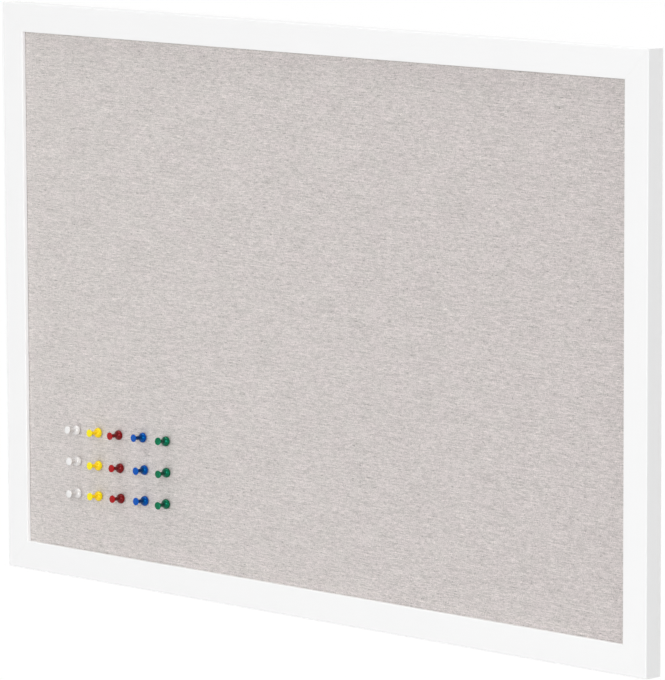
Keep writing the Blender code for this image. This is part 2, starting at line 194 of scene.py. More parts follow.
class StageSettings(bpy.types.PropertyGroup):
    """The camera, the floor and the lamps."""

    camera_yaw: degrees("Camera Yaw", "Turn of the camera to the board's right", 44.55)
    camera_pitch: degrees("Camera Pitch", "Height of the camera as an angle", 7.767)
    camera_roll: degrees("Camera Roll", "Tilt of the camera about its own axis", 0.214)
    camera_distance: metres(
        "Camera Distance", "Distance from the camera to the point that it looks at", 5.46681
    )
    camera_target: bpy.props.FloatVectorProperty(
        name="Camera Target",
        description="Point on the board's front that the camera looks at",
        subtype="TRANSLATION",
        unit="LENGTH",
        size=3,
        default=(0.03398, -0.021, -0.30104),
    )
    lens: bpy.props.FloatProperty(
        name="Lens",
        description="Focal length in millimetres, on a sensor 36 mm long",
        default=290.8,
    )
    floor_drop: metres("Floor Drop", "Height at which the board hangs over the floor", 2.2)
    room_light: bpy.props.FloatProperty(
        name="Room Light",
        description="Strength of the even light from all round",
        default=0.46,
    )


settings_groups = {
    "board_paint": FramePaintSettings,
    "board_linen": LinenSettings,
    "board_pins": PushPinSettings,
    "board_hangers": HangerSettings,
    "board_stage": StageSettings,
}


# Node materials


class Signal:
    """A value at a socket of a node tree. Arithmetic written on it adds Math nodes."""

    def __init__(self, tree, socket):
        self.tree = tree
        self.socket = socket

    def maths(self, operation, *values, clamped=False):
        settings = {"operation": operation, "use_clamp": clamped}
        return self.tree.add("ShaderNodeMath", settings, dict(enumerate(values)))

    def __add__(self, other):
        return self.maths("ADD", self, other)

    def __radd__(self, other):
        return self.maths("ADD", other, self)

    def __sub__(self, other):
        return self.maths("SUBTRACT", self, other)

    def __rsub__(self, other):
        return self.maths("SUBTRACT", other, self)

    def __mul__(self, other):
        return self.maths("MULTIPLY", self, other)

    def __rmul__(self, other):
        return self.maths("MULTIPLY", other, self)

    def __truediv__(self, other):
        return self.maths("DIVIDE", self, other)

    def __pow__(self, other):
        return self.maths("POWER", self, other)

    def __abs__(self):
        return self.maths("ABSOLUTE", self)

    def floor(self):
        return self.maths("FLOOR", self)

    def sine(self):
        return self.maths("SINE", self)

    def limited(self):
        return self.maths("ADD", self, 0.0, clamped=True)

    def at_least(self, other):
        return self.maths("MAXIMUM", self, other)

    def swing(self, amount):
        """What a signal is over or under its middle of 0.5, times an amount."""
        return (self - 0.5) * amount

    def peaks(self, level, steepness):
        """Only what stands over a level, from 0 to 1."""
        return ((self - level) * steepness).limited()

    def toward(self, other, share):
        """This signal, taken a share of the way to another."""
        return self + (other - self) * share


def opaque(colour):
    """A colour with its fourth number. A signal stays as it is."""
    return colour if isinstance(colour, Signal) else (*colour, 1.0)


class NodeMaker:
    """Adds nodes to one material's or world's tree."""

    def __init__(self, owner):
        owner.use_nodes = True
        self.nodes = owner.node_tree.nodes
        self.links = owner.node_tree.links

    def feed(self, socket, value):
        """Link a signal to a socket, or type a value into it."""
        if isinstance(value, Signal):
            self.links.new(value.socket, socket)
        else:
            socket.default_value = value

    def add(self, kind, settings=None, sockets=None, output=0):
        """Add any node: its settings first, then the values or links of its sockets."""
        node = self.nodes.new(kind)
        for name, value in (settings or {}).items():
            setattr(node, name, value)
        for key, value in (sockets or {}).items():
            self.feed(node.inputs[key], value)
        return Signal(self, node.outputs[output])

    def place(self):
        """The three object coordinates, in metres."""
        point = self.add("ShaderNodeTexCoord", output="Object")
        return [self.add("ShaderNodeSeparateXYZ", None, {0: point}, axis) for axis in "XYZ"]

    def noise(self, x, y, z=0.0, detail=0.0):
        """Soft noise from 0 to 1, about 0.5, at coordinates that are already in grains."""
        point = self.add("ShaderNodeCombineXYZ", None, {0: x, 1: y, 2: z})
        sockets = {"Vector": point, "Scale": 1.0, "Detail": detail}
        return self.add("ShaderNodeTexNoise", None, sockets)

    def grains(self, place, sizes, detail=0.0):
        """Soft noise with grains of three sizes in metres, or of one size all round."""
        sizes = sizes if isinstance(sizes, tuple) else (sizes,) * 3
        return self.noise(*(axis / size for axis, size in zip(place, sizes)), detail)

    def mixed(self, share, first, second):
        """Two colours mixed."""
        sockets = {0: share, 6: opaque(first), 7: opaque(second)}
        return self.add("ShaderNodeMix", {"data_type": "RGBA"}, sockets, 2)

    def scaled(self, colour, amount):
        """A colour made lighter or darker by a signal."""
        sockets = {0: colour, "Scale": amount}
        return self.add("ShaderNodeVectorMath", {"operation": "SCALE"}, sockets)

    def dress(self, shader, colour, roughness, height, depth):
        """Feed a shader its colour, its roughness and a relief whose heights are from 0 to 1."""
        sockets = {"Strength": 1.0, "Distance": depth, "Height": height}
        self.feed(shader["Base Color"], colour)
        self.feed(shader["Roughness"], roughness)
        self.feed(shader["Normal"], self.add("ShaderNodeBump", None, sockets))


def new_finish(name, **values):
    """A material, its node maker and its shader's sockets, which the values go straight into."""
    material = bpy.data.materials.new(name)
    maker = NodeMaker(material)
    shader = maker.nodes["Principled BSDF"].inputs
    for socket, value in values.items():
        shader[socket.replace("_", " ")].default_value = value
    return material, maker, shader


def paint_finish(name, along):
    """Satin paint over wood whose grain runs along one axis, with the roller's stipple."""
    look = bpy.context.scene.board_paint
    material, maker, shader = new_finish(name)
    place = maker.place()
    width = look.grain_width
    grain_sizes = tuple(look.grain_length if axis == along else width for axis in "XYZ")
    grain = maker.grains(place, grain_sizes, 2.0)
    stipple = maker.grains(place, look.stipple_size, 1.0)
    cloud = maker.grains(place, 1 / 9, 2.0)
    colour = maker.scaled(look.colour[:], 1 + grain.swing(0.018) + cloud.swing(0.012))
    gloss = look.sheen_roughness + stipple.swing(0.14) + cloud.swing(0.10)
    maker.dress(shader, colour, gloss, grain * 0.5 + stipple * 0.5, depth=0.00006)
    return material


def linen_finish():
    """Plain woven linen: uneven threads over and under each other, with slubs and nubs."""
    look = bpy.context.scene.board_linen
    material, maker, shader = new_finish("linen", Specular_IOR_Level=0.25)
    x, _, z = maker.place()
    pitch = look.thread_pitch
    # The threads wander, so no row is quite straight or evenly thick
    weft = z / pitch + maker.noise(x / 0.045, z / 0.011) * 2.6
    warp = x / pitch + maker.noise(x / 0.011, z / 0.045) * 2.6
    weft_row, warp_row = weft.floor(), warp.floor()
    weft_round = (weft * math.pi).sine()
    warp_round = (warp * math.pi).sine()
    weft_on_top = (weft_round * warp_round * 3.5 + 0.5).limited()
    # A thread stands highest where it crosses over and dives at both ends of its float
    weft_float = abs(weft_round) * (abs(warp_round) * 0.6 + 0.4)
    warp_float = abs(warp_round) * (abs(weft_round) * 0.6 + 0.4)
    rise = warp_float.toward(weft_float, weft_on_top)
    weft_fibre = maker.noise(x / 0.0013, z / 0.00015, 41.0)
    warp_fibre = maker.noise(x / 0.00015, z / 0.0013, 43.0)
    fibre = warp_fibre.toward(weft_fibre, weft_on_top)
    # Each thread changes tone along its own length
    weft_tone = maker.noise(x / look.weft_run, weft_row * 1.73, 0.0, 1.0)
    warp_tone = maker.noise(warp_row * 1.73, z / look.warp_run, 5.0, 1.0)
    thread_tone = warp_tone.toward(weft_tone, weft_on_top * 0.35 + 0.45)
    streak = maker.noise(x / 0.045, z / 0.0010, 9.0, 1.0)
    fleck = maker.noise(x / 0.0012, z / 0.0010, 2.0)
    cloud = maker.noise(x / 0.060, z / 0.034, 3.0, 2.0)
    slub = maker.noise(x / 0.0050, weft_row * 1.31, 21.0).peaks(0.72, 14)
    nub = maker.noise(x / 0.0028, weft_row * 1.57, 33.0).peaks(0.76, 16)
    # The cloth is painted a little darker toward its right edge, a painted shade of the light falling
    # off there, and its tone drifts warmer there
    drift_and_falloff_shade = x / look.tone_and_shade_drift_width
    tone = 1.0 + thread_tone.swing(1.05) + streak.swing(0.40)
    tone = tone + fleck.swing(0.56) + cloud.swing(0.06) + fibre.swing(0.22)
    # Threads are painted darker where they dive under their neighbours, a painted shade in the
    # weave's hollows
    tone = tone * (0.88 + rise * 0.16) - slub * 0.22 + nub * 0.12 - drift_and_falloff_shade * 0.05
    mottle = maker.noise(x / 0.027, z / 0.018, 14.0, 1.0)
    warmth = (mottle.swing(2.4) + weft_tone.swing(0.7) + drift_and_falloff_shade * 0.7 + 0.5).limited()
    yarn = maker.mixed(warmth, look.cool_colour, look.warm_colour)
    height = rise + fibre.swing(0.5) + thread_tone.swing(0.8) + (slub + nub) * 0.8
    maker.dress(shader, maker.scaled(yarn, tone), 0.93, height, depth=0.00014)
    return material


def plastic_finish(colour_name, colour, deep_shaded_colour, depth, glint):
    """Glossy moulded plastic, deeper in the thick dome than in the thin disc and rim, partly from
    painted shade on the dome.
    """
    look = bpy.context.scene.board_pins
    material, maker, shader = new_finish(
        f"{colour_name}_plastic", IOR=1.5, Specular_IOR_Level=0.85, Specular_Tint=opaque(glint)
    )
    thin_and_lit = maker.add("ShaderNodeAttribute", {"attribute_name": "thinness_and_light"}, output="Fac")
    place = maker.place()
    flow = maker.grains(place, (0.0021, 0.0034, 0.0021), 1.0)
    ripple = maker.grains(place, 0.0009)
    # The dome's deep colour is partly the thick plastic and partly painted shade
    plastic = maker.mixed((thin_and_lit**depth + flow.swing(0.16)).limited(), deep_shaded_colour, colour)
    gloss = look.gloss_roughness + flow.swing(0.10)
    maker.dress(shader, plastic, gloss, ripple, depth=0.000012)
    return material


def steel_finish(name, colour, roughness, grain_sizes):
    """Plated or drawn steel: a cloudy plating with fine marks along its grain."""
    blueness = 0.06
    material, maker, shader = new_finish(name, Metallic=1.0)
    place = maker.place()
    marks = maker.grains(place, grain_sizes, 2.0)
    cloud = maker.grains(place, 0.003, 2.0)
    bluish = (colour[0] * (1 - blueness), colour[1], colour[2] * (1 + blueness))
    plating = maker.mixed(cloud, colour, bluish)
    steel = maker.scaled(plating, 1 + cloud.swing(0.16) + marks.swing(0.12))
    gloss = (roughness + marks.swing(0.16) + cloud.swing(0.12)).limited()
    maker.dress(shader, steel, gloss, marks, depth=0.00002)
    return material


def hardboard_finish():
    """Pressed brown fibre: short fibres that lie both ways, in clouds, with darker specks."""
    material, maker, shader = new_finish("hardboard")
    place = maker.place()
    upright_fibres = maker.grains(place, (0.0011, 0.0011, 0.0042), 2.0)
    level_fibres = maker.grains(place, (0.0042, 0.0011, 0.0011), 2.0)
    fibres = upright_fibres.at_least(level_fibres)
    cloud = maker.grains(place, 0.050, 3.0)
    speck = maker.grains(place, 0.0013).peaks(0.70, 9)
    share = (fibres.swing(1.6) + cloud.swing(0.8) + 0.4).limited()
    brown = maker.mixed(share, (0.190, 0.112, 0.062), (0.335, 0.218, 0.130))
    colour = maker.mixed(speck * 0.5, brown, (0.080, 0.045, 0.025))
    maker.dress(shader, colour, 0.62 + fibres.swing(0.3), fibres, depth=0.00012)
    return material


def cork_finish():
    """Pressed cork granules with dark bark between them."""
    granules_per_metre = 420.0
    material, maker, shader = new_finish("cork")
    point = maker.add("ShaderNodeTexCoord", output="Object")
    sockets = {"Vector": point, "Scale": granules_per_metre}
    tone = maker.add("ShaderNodeTexVoronoi", None, sockets, "Color")
    lightness = maker.add("ShaderNodeSeparateColor", None, {0: tone})
    to_edge = {"feature": "DISTANCE_TO_EDGE"}
    edge = maker.add("ShaderNodeTexVoronoi", to_edge, sockets, "Distance")
    granule = maker.mixed(lightness, (0.330, 0.190, 0.095), (0.560, 0.385, 0.225))
    bark = (1 - edge * 9).limited()
    colour = maker.mixed(bark * 0.6, granule, (0.120, 0.060, 0.030))
    maker.dress(shader, colour, 0.90, edge, depth=0.0004)
    return material


def rubber_finish():
    """Matte black rubber with the mould's fine texture."""
    material, maker, shader = new_finish("rubber", Specular_IOR_Level=0.35)
    place = maker.place()
    skin = maker.grains(place, 0.0004, 2.0)
    bloom = maker.grains(place, 0.004, 2.0)
    black = maker.mixed(bloom, (0.026, 0.026, 0.027), (0.060, 0.059, 0.058))
    maker.dress(shader, black, 0.74 + bloom.swing(0.3), skin, depth=0.00003)
    return material


# Modelling helpers


def clear_selection():
    """Leave any edit mode and select nothing."""
    if bpy.context.object and bpy.context.object.mode != "OBJECT":
        bpy.ops.object.mode_set(mode="OBJECT")
    bpy.ops.object.select_all(action="DESELECT")


def pick_object(piece):
    """Make a piece the only one selected, and the active one."""
    clear_selection()
    piece.select_set(True)
    bpy.context.view_layer.objects.active = piece


def pick(piece, kind, test):
    """In edit mode, select only the vertices, edges or faces that pass a test."""
    bpy.ops.mesh.select_mode(type=kind)
    bpy.ops.mesh.select_all(action="DESELECT")
    shape = bmesh.from_edit_mesh(piece.data)
    parts = {"VERT": shape.verts, "EDGE": shape.edges, "FACE": shape.faces}[kind]
    for part in parts:
        if test(part):
            part.select_set(True)
    shape.select_flush_mode()
    bmesh.update_edit_mesh(piece.data)


def arc(centre, radius, start, stop, steps):
    """Points along an arc, both ends included, with angles in degrees."""
    angles = [math.radians(start + (stop - start) * step / steps) for step in range(steps + 1)]
    return [
        (centre[0] + radius * math.cos(angle), centre[1] + radius * math.sin(angle))
        for angle in angles
    ]


def trace(name, points):
    """A line drawn by extruding one vertex from point to point. It stays in edit mode."""
    clear_selection()
    bpy.ops.mesh.primitive_plane_add(size=merge_distance, location=points[0])
    piece = bpy.context.object
    piece.name = name
    bpy.ops.object.mode_set(mode="EDIT")
    bpy.ops.mesh.select_mode(type="VERT")
    bpy.ops.mesh.select_all(action="SELECT")
    bpy.ops.mesh.merge(type="CENTER")
    for start, stop in zip(points, points[1:]):
        step = Vector(stop) - Vector(start)
        bpy.ops.mesh.extrude_region_move(TRANSFORM_OT_translate={"value": step})
    bpy.ops.mesh.select_all(action="SELECT")
    return piece


def settle(piece, angle=crisp_angle):
    """Leave edit mode, put the piece's place into its mesh and shade it."""
    pick_object(piece)
    bpy.ops.object.transform_apply(location=True, rotation=True, scale=True)
    bpy.ops.object.shade_smooth_by_angle(angle=angle)
    return piece


def tidy_surface():
    """In edit mode, merge what coincides and point every face outwards."""
    bpy.ops.mesh.select_all(action="SELECT")
    bpy.ops.mesh.remove_doubles(threshold=merge_distance)
    bpy.ops.mesh.normals_make_consistent(inside=False)


def lathe(name, profile, steps):
    """A closed turned piece about Z, from a profile of radius and height."""
    piece = trace(name, [(radius, 0, height) for radius, height in profile])
    bpy.ops.mesh.spin(steps=steps, angle=math.tau, center=(0, 0, 0), axis=(0, 0, 1))
    tidy_surface()
    return settle(piece)


def use_modifier(piece, kind, **settings):
    """Add a modifier to a piece and apply it."""
    pick_object(piece)
    modifier = piece.modifiers.new(kind.title(), kind)
    for name, value in settings.items():
        setattr(modifier, name, value)
    bpy.ops.object.modifier_apply(modifier=modifier.name)


def break_edges(piece, width, sharper_than):
    """Bevel a piece's edges, where they are sharper than an angle in degrees."""
    use_modifier(
        piece,
        "BEVEL",
        width=width,
        segments=2,
        limit_method="ANGLE",
        angle_limit=math.radians(sharper_than),
    )


def join(pieces):
    """Join several pieces into the first."""
    clear_selection()
    for piece in pieces:
        piece.select_set(True)
    bpy.context.view_layer.objects.active = pieces[0]
    bpy.ops.object.join()
    return pieces[0]


def cut_away(piece, cutter, solver="EXACT"):
    """Cut a piece with a cutter, which is then removed."""
    use_modifier(piece, "BOOLEAN", object=cutter, operation="DIFFERENCE", solver=solver)
    bpy.data.objects.remove(cutter, do_unlink=True)


def copy_at(pattern, name, matrix):
    """A copy of a piece with its own mesh, moved there in its mesh."""
    piece = bpy.data.objects.new(name, pattern.data.copy())
    bpy.context.scene.collection.objects.link(piece)
    piece.data.name = name
    piece.data.transform(matrix)
    return piece


def copy_of_node(node, name):
    """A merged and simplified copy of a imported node's mesh, left in edit mode."""
    piece = bpy.data.objects.new(name, frame["nodes"][node].data.copy())
    bpy.context.scene.collection.objects.link(piece)
    pick_object(piece)
    bpy.ops.mesh.customdata_custom_splitnormals_clear()
    bpy.ops.object.mode_set(mode="EDIT")
    tidy_surface()
    bpy.ops.mesh.dissolve_limited(angle_limit=flat_angle)
    return piece


def fit_out(piece, body, finish, slot, *nodes):
    """Give a piece its material and its body, and hide the nodes that it stands for. The slot is not
    used.
    """
    piece.data.materials.clear()
    piece.data.materials.append(finish)
    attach(piece, body)
    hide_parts(*nodes)


def points_of(node):
    """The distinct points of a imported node."""
    vertices = frame["nodes"][node].data.vertices
    return [Vector(key) for key in {tuple(round(c, 6) for c in v.co) for v in vertices}]


def joint_of(body):
    """The joint that carries a body."""
    return next(joint for joint in frame["joints"] if joint["child"] == body)


def pin_axis(name):
    """The direction in which a pin pulls out."""
    return Vector(joint_of(name)["axis"]).normalized()


def pin_place(name):
    """A pin's own place: Z runs out of the board from the middle of its foot."""
    outwards = pin_axis(name)
    points = points_of(f"{name}_head")
    middle = sum(points, Vector()) / len(points)
    foot = min(point @ outwards for point in points)
    middle += outwards * (foot - middle @ outwards)
    return Matrix.Translation(middle) @ outwards.to_track_quat("Z", "Y").to_matrix().to_4x4()


def reach_of(node, axis):
    """A node's length along an axis."""
    marks = [point @ axis for point in points_of(node)]
    return max(marks) - min(marks)


def middle_at(low, high, depth):
    """The middle of a box as seen from the front, put at a depth along Y."""
    return Vector(((low.x + high.x) / 2, depth, (low.z + high.z) / 2))


def all_pins():
    """The name and colour of each pin."""
    return [(f"{row}_{colour}_pin", colour) for row in row_names for colour in colour_names]


# Operators


class BOARD_OT_paint_frame(bpy.types.Operator):
    """Paint the four mitred rails"""

    bl_idname = "board.paint_frame"
    bl_label = "Paint Frame"

    square_tolerance = 0.01
    smallest_mitre_area = 0.0001

    def execute(self, context):
        across = paint_finish("white_paint_across", "X")
        upright = paint_finish("white_paint_upright", "Z")
        for side in ("top", "bottom"):
            self.paint_rail(side, across, "X", "Z")
        for side in hands:
            self.paint_rail(side, upright, "Z", "X")
        return {"FINISHED"}

    def paint_rail(self, side, finish, along, over):
        """A painted rail: the paint has run into the mitres and nearly closed them."""
        look = bpy.context.scene.board_paint
        node = f"{side}_rail"
        low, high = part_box(node)
        along, over = "XYZ".index(along), "XYZ".index(over)
        middle = (low[along] + high[along]) / 2
        inner = min(low[over], high[over], key=lambda edge: abs(edge - board_middle[over]))
        rail = copy_of_node(node, f"{side}_painted_rail")
        points = [vertex.co for vertex in rail.data.vertices]
        lip_back = max(point.y for point in points if abs(point[over] - inner) < merge_distance)

        def on_mitre(face):
            slant = abs(face.normal[along]) - abs(face.normal[over])
            square = max(abs(face.normal.y), abs(slant)) < self.square_tolerance
            return square and face.calc_area() > self.smallest_mitre_area

        def beyond_middle(face):
            return face.calc_center_median()[along] - middle

        def on_arris(edge):
            return all(
                abs(end.co[over] - inner) < edge_tolerance
                and abs(end.co.y - lip_back) < edge_tolerance
                for end in edge.verts
            )

        for end in (-1, 1):
            pick(rail, "FACE", lambda face: on_mitre(face) and beyond_middle(face) * end > 0)
            step = [0, 0, 0]
            step[along] = end * look.mitre_fill
            bpy.ops.transform.translate(value=step)
        pick(rail, "EDGE", on_arris)
        bpy.ops.mesh.bevel(offset=look.lip_arris, segments=2, affect="EDGES")
        settle(rail)
        # The flat faces keep straight normals, and only the rounded edges turn theirs
        use_modifier(rail, "WEIGHTED_NORMAL", keep_sharp=True)
        fit_out(rail, "board", finish, "white_paint", node)


class BOARD_OT_stretch_linen(bpy.types.Operator):
    """Stretch the linen over the core, fold it behind and pierce it for the needles"""

    bl_idname = "board.stretch_linen"
    bl_label = "Stretch Linen"

    fine_spacing = 0.0016
    coarse_spacing = 0.0048
    pin_margin = 0.011
    # The slack cloth's waves: length across and up, layer of the noise, and strength
    waves = ((0.070, 0.045, 0, 1.0), (0.028, 0.020, 7, 0.5))
    held_width = 0.03
    press_reach = 3
    fold_steps = 4
    hole_sides = 24
    hole_reach = 0.006
    # Shares of the map's picture: the front at its foot, and over it the turnover on the left
    # and the cloth's sides on the right
    front_share = 0.66
    gap_share = 0.02
    width_share = 0.45
    turnover_share = 0.30
    side_foot_share = 0.70
    side_share = 0.25

    def grid_lines(self, low, high, fine_low, fine_high):
        """Places of the grid's lines, close together where the pins stand."""
        lines = []
        for start, stop, spacing in (
            (low, fine_low, self.coarse_spacing),
            (fine_low, fine_high, self.fine_spacing),
            (fine_high, high, self.coarse_spacing),
        ):
            count = max(1, round((stop - start) / spacing))
            lines += [start + (stop - start) * step / count for step in range(count)]
        return lines + [high]

    def front_sheet(self, low, high, pins):
        """The front of the cloth as a grid, with its lines spread and its surface shaped."""
        look = bpy.context.scene.board_linen
        places = [place.translation for place in pins]
        x_lines, z_lines = (
            self.grid_lines(
                low[axis] + look.edge_radius,
                high[axis] - look.edge_radius,
                min(place[axis] for place in places) - self.pin_margin,
                max(place[axis] for place in places) + self.pin_margin,
            )
            for axis in (0, 2)
        )
        clear_selection()
        bpy.ops.mesh.primitive_grid_add(
            x_subdivisions=len(x_lines) - 1,
            y_subdivisions=len(z_lines) - 1,
            size=1,
            location=(0.5, low.y, 0.5),
            rotation=(quarter_turn, 0, 0),
        )
        sheet = bpy.context.object
        sheet.name = "linen_sheet"
        bpy.ops.object.transform_apply(location=True, rotation=True, scale=True)
        for vertex in sheet.data.vertices:
            x = x_lines[round(vertex.co.x * (len(x_lines) - 1))]
            z = z_lines[round(vertex.co.z * (len(z_lines) - 1))]
            vertex.co = (x, low.y + self.sag(x, z, x_lines, z_lines, places), z)
        return sheet

    def sag(self, x, z, x_lines, z_lines, places):
        """How far the cloth's front lies behind flat at one place."""
        look = bpy.context.scene.board_linen
        edge = min(x - x_lines[0], x_lines[-1] - x, z - z_lines[0], z_lines[-1] - z)
        held = min(1.0, edge / self.held_width)
        wave = sum(
            noise.noise(Vector((x / across, layer, z / up))) * strength
            for across, up, layer, strength in self.waves
        )
        sag = (wave + 1) * 0.5 * look.slackness * held
        for place in places:
            apart = math.hypot(x - place.x, z - place.z) / look.press_radius
            if apart < self.press_reach:
                sag += look.press_depth * math.exp(-apart * apart)
        return sag

    def fold_back(self, sheet, low, high):
        """Take the sheet's border round the core's edges, down its sides and in behind it."""
        look = bpy.context.scene.board_linen
        radius = look.edge_radius
        width, depth, height = high - low
        # How far in from the panel's outline, and how far back, each stage takes the border
        stages = arc((radius, radius), radius, 270, 180, self.fold_steps)[1:]
        stages += arc((radius, depth - radius), radius, 180, 90, self.fold_steps)
        stages.append((look.turnover, depth))
        pick_object(sheet)
        bpy.ops.object.mode_set(mode="EDIT")
        pick(sheet, "EDGE", lambda edge: edge.is_boundary)
        inset, back = radius, 0
        middle = middle_at(low, high, low.y)
        for next_inset, next_back in stages:
            step = (0, next_back - back, 0)
            bpy.ops.mesh.extrude_region_move(TRANSFORM_OT_translate={"value": step})
            grow_x = (width - 2 * next_inset) / (width - 2 * inset)
            grow_z = (height - 2 * next_inset) / (height - 2 * inset)
            bpy.ops.transform.resize(value=(grow_x, 1, grow_z), center_override=middle)
            inset, back = next_inset, next_back

    def needle_holes(self, pins):
        """One cutter with a rod through the cloth for each needle."""
        clearance = bpy.context.scene.board_linen.hole_clearance
        radius = bpy.context.scene.board_pins.needle_diameter / 2 + clearance
        rods = []
        for place in pins:
            clear_selection()
            bpy.ops.mesh.primitive_cylinder_add(
                vertices=self.hole_sides, radius=radius, depth=2 * self.hole_reach
            )
            rod = bpy.context.object
            rod.data.transform(place)
            rods.append(rod)
        return join(rods)

    def lay_out_map(self, sheet, low, high):
        """A map that gives the cloth's front most of the picture, and the rest what is left."""
        layer = sheet.data.uv_layers.new(name="OFBake")
        width, depth, height = high - low
        for face in sheet.data.polygons:
            shown = face.normal.y < -0.5 and face.center.y < low.y + depth / 8
            for corner in face.loop_indices:
                place = sheet.data.vertices[sheet.data.loops[corner].vertex_index].co
                across = (place.x - low.x) / width
                back = (place.y - low.y) / depth
                up = (place.z - low.z) / height
                if shown:
                    spot = (across, up * self.front_share)
                elif abs(face.normal.y) > 0.5:
                    foot = self.front_share + self.gap_share
                    spot = (across * self.width_share, foot + up * self.turnover_share)
                else:
                    around = across if abs(face.normal.z) > 0.5 else up
                    spot = (
                        0.5 + around * self.width_share,
                        self.side_foot_share + back * self.side_share,
                    )
                layer.uv[corner].vector = spot

    def execute(self, context):
        look = context.scene.board_linen
        low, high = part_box("linen_cover")
        pins = [pin_place(name) for name, _ in all_pins()]
        sheet = self.front_sheet(low, high, pins)
        self.fold_back(sheet, low, high)
        settle(sheet)
        use_modifier(
            sheet, "SOLIDIFY", thickness=look.thickness, offset=-1, use_even_offset=True
        )
        cut_away(sheet, self.needle_holes(pins), "MANIFOLD")
        settle(sheet, round_angle)
        self.lay_out_map(sheet, low, high)
        fit_out(sheet, "board", linen_finish(), "linen", "linen_cover")
        return {"FINISHED"}


class BOARD_OT_fit_boards(bpy.types.Operator):
    """Finish the cork core and the hardboard backing"""

    bl_idname = "board.fit_boards"
    bl_label = "Fit Boards"

    def execute(self, context):
        frame["nodes"]["cork_core"].material_slots[0].material = cork_finish()
        frame["nodes"]["backing_board"].material_slots[0].material = hardboard_finish()
        return {"FINISHED"}


